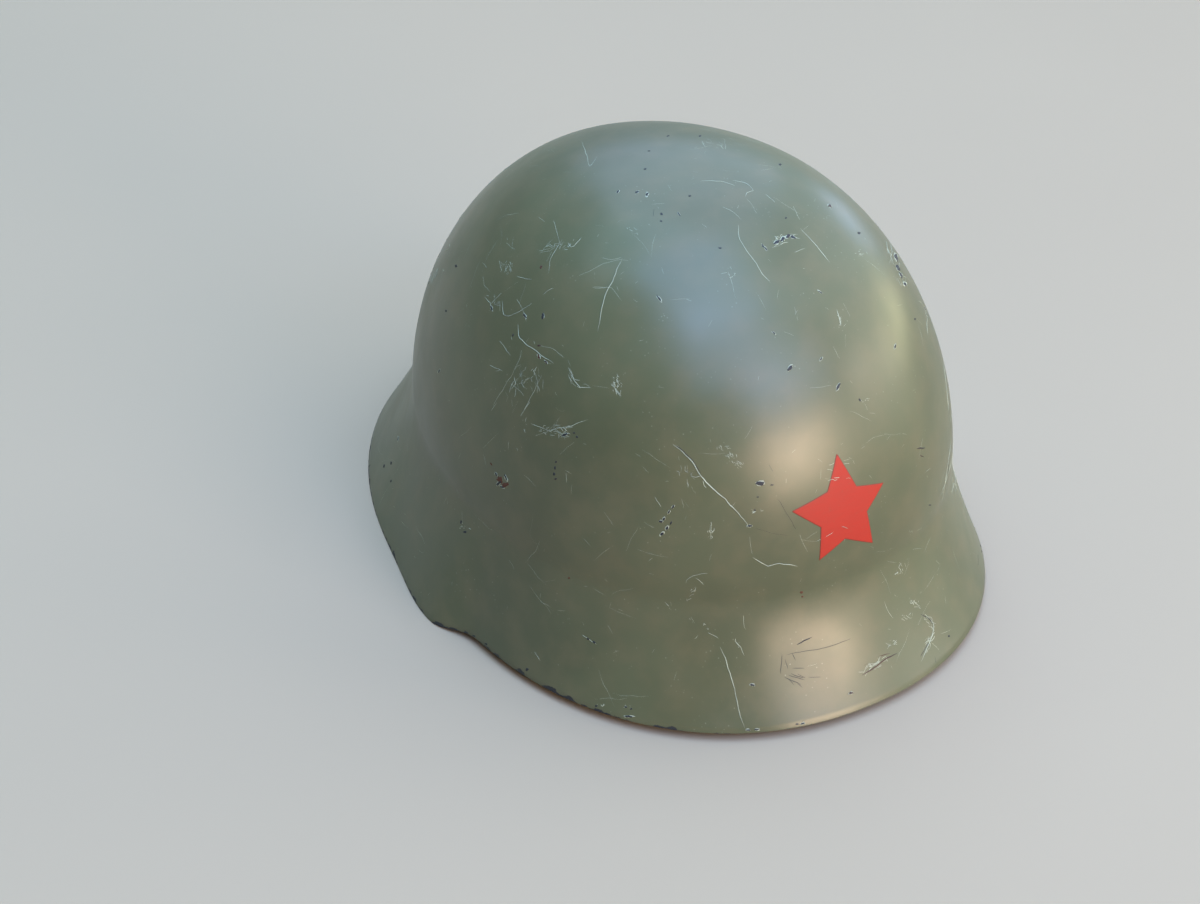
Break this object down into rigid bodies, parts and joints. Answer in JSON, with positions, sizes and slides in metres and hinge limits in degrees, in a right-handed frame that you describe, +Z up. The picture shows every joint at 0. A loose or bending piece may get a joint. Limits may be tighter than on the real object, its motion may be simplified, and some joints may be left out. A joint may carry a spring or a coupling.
{
  "type": "combat helmet",
  "caption": "Pressed steel combat helmet with a flared rim, painted star, riveted leather tongue liner laced at the crown, and a swinging web chin strap with a cam buckle.",
  "frame": {"origin": "Bottom centre of the box round the whole helmet, on the plane that the rim rests on.", "axes": "+Z up through the crown, -Y towards the front of the helmet, +X towards the wearer's left."},
  "size_m": [0.2388, 0.3056, 0.167],
  "materials": {
    "shell_paint": "semi-gloss olive paint, scratched and chipped, worn at the rim",
    "star_paint": "thin red paint, semi-gloss, finely scratched",
    "inner_paint": "olive paint over welds, satin",
    "zinc_steel": "dull zinc plate",
    "dark_steel": "darkened stamped steel, worn bright on the edges",
    "brass": "aged brass",
    "leather": "vegetable-tanned leather, creased and darkened by wear",
    "cotton": "twisted cotton lace, off-white",
    "webbing": "plain-woven cotton webbing, grey-green",
    "rubber": "matt black rubber"
  },
  "bodies": {
    "helmet": {"shell": "shell_paint", "painted_star": "star_paint", "front_left_bracket": "inner_paint", "front_right_bracket": "inner_paint", "rear_left_bracket": "inner_paint", "rear_right_bracket": "inner_paint", "liner_band": "zinc_steel", "band_screws": "zinc_steel", "band_splice_rivets": "zinc_steel", "front_buffer": "rubber", "rear_buffer": "rubber", "left_buffer": "rubber", "right_buffer": "rubber", "brow_band": "leather", "liner_rivets": "brass", "tongue_1": "leather", "tongue_2": "leather", "tongue_3": "leather", "tongue_4": "leather", "tongue_5": "leather", "tongue_6": "leather", "tongue_7": "leather", "tongue_8": "leather", "crown_lace": "cotton", "left_strap_lug": "inner_paint", "right_strap_lug": "inner_paint", "left_pivot_rivet": "zinc_steel", "right_pivot_rivet": "zinc_steel"},
    "chin_strap": {"left_strap_hanger": "dark_steel", "right_strap_hanger": "dark_steel", "short_strap": "webbing", "long_strap": "webbing", "buckle_frame": "dark_steel", "buckle_pin": "zinc_steel", "strap_keeper": "leather", "strap_tip": "zinc_steel"},
    "lever": {"buckle_lever": "dark_steel"}
  },
  "joints": [
    {"name": "chin_strap_swing", "type": "hinge", "parent": "helmet", "child": "chin_strap", "pos_m": [0, -0.00725, 0.024], "axis": [-1, 0, 0], "range_deg": [0, 168]},
    {"name": "buckle_lever_open", "type": "hinge", "parent": "chin_strap", "child": "lever", "pos_m": [0.07404, 0.05424, 0.01753], "axis": [0, 0.1047, 0.9945], "range_deg": [0, 75]}
  ]
}
